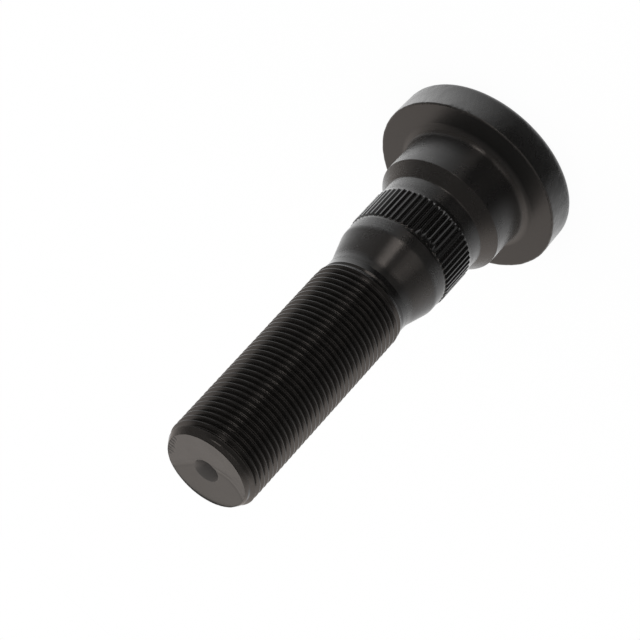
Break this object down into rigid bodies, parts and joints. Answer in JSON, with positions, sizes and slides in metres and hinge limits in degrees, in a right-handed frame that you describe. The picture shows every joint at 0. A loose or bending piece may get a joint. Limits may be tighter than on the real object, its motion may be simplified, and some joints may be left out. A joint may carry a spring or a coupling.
{
  "type": "wheel stud",
  "caption": "Black forged steel wheel stud: a round head, a pilot boss, a serrated press-in shank and a long fine thread.",
  "frame": {"origin": "centre of the head's flat back face, the lowest point of the stud, which stands on its head", "axes": "+Z along the stud's axis from the head to the threaded tip; it is turned, so X and Y are free"},
  "size_m": [0.0444, 0.0444, 0.1034],
  "materials": {
    "phosphated_steel": "black phosphated and oiled, turned on the shank and as forged round the head"
  },
  "bodies": {
    "root": {"wheel_stud": "phosphated_steel"}
  },
  "joints": []
}
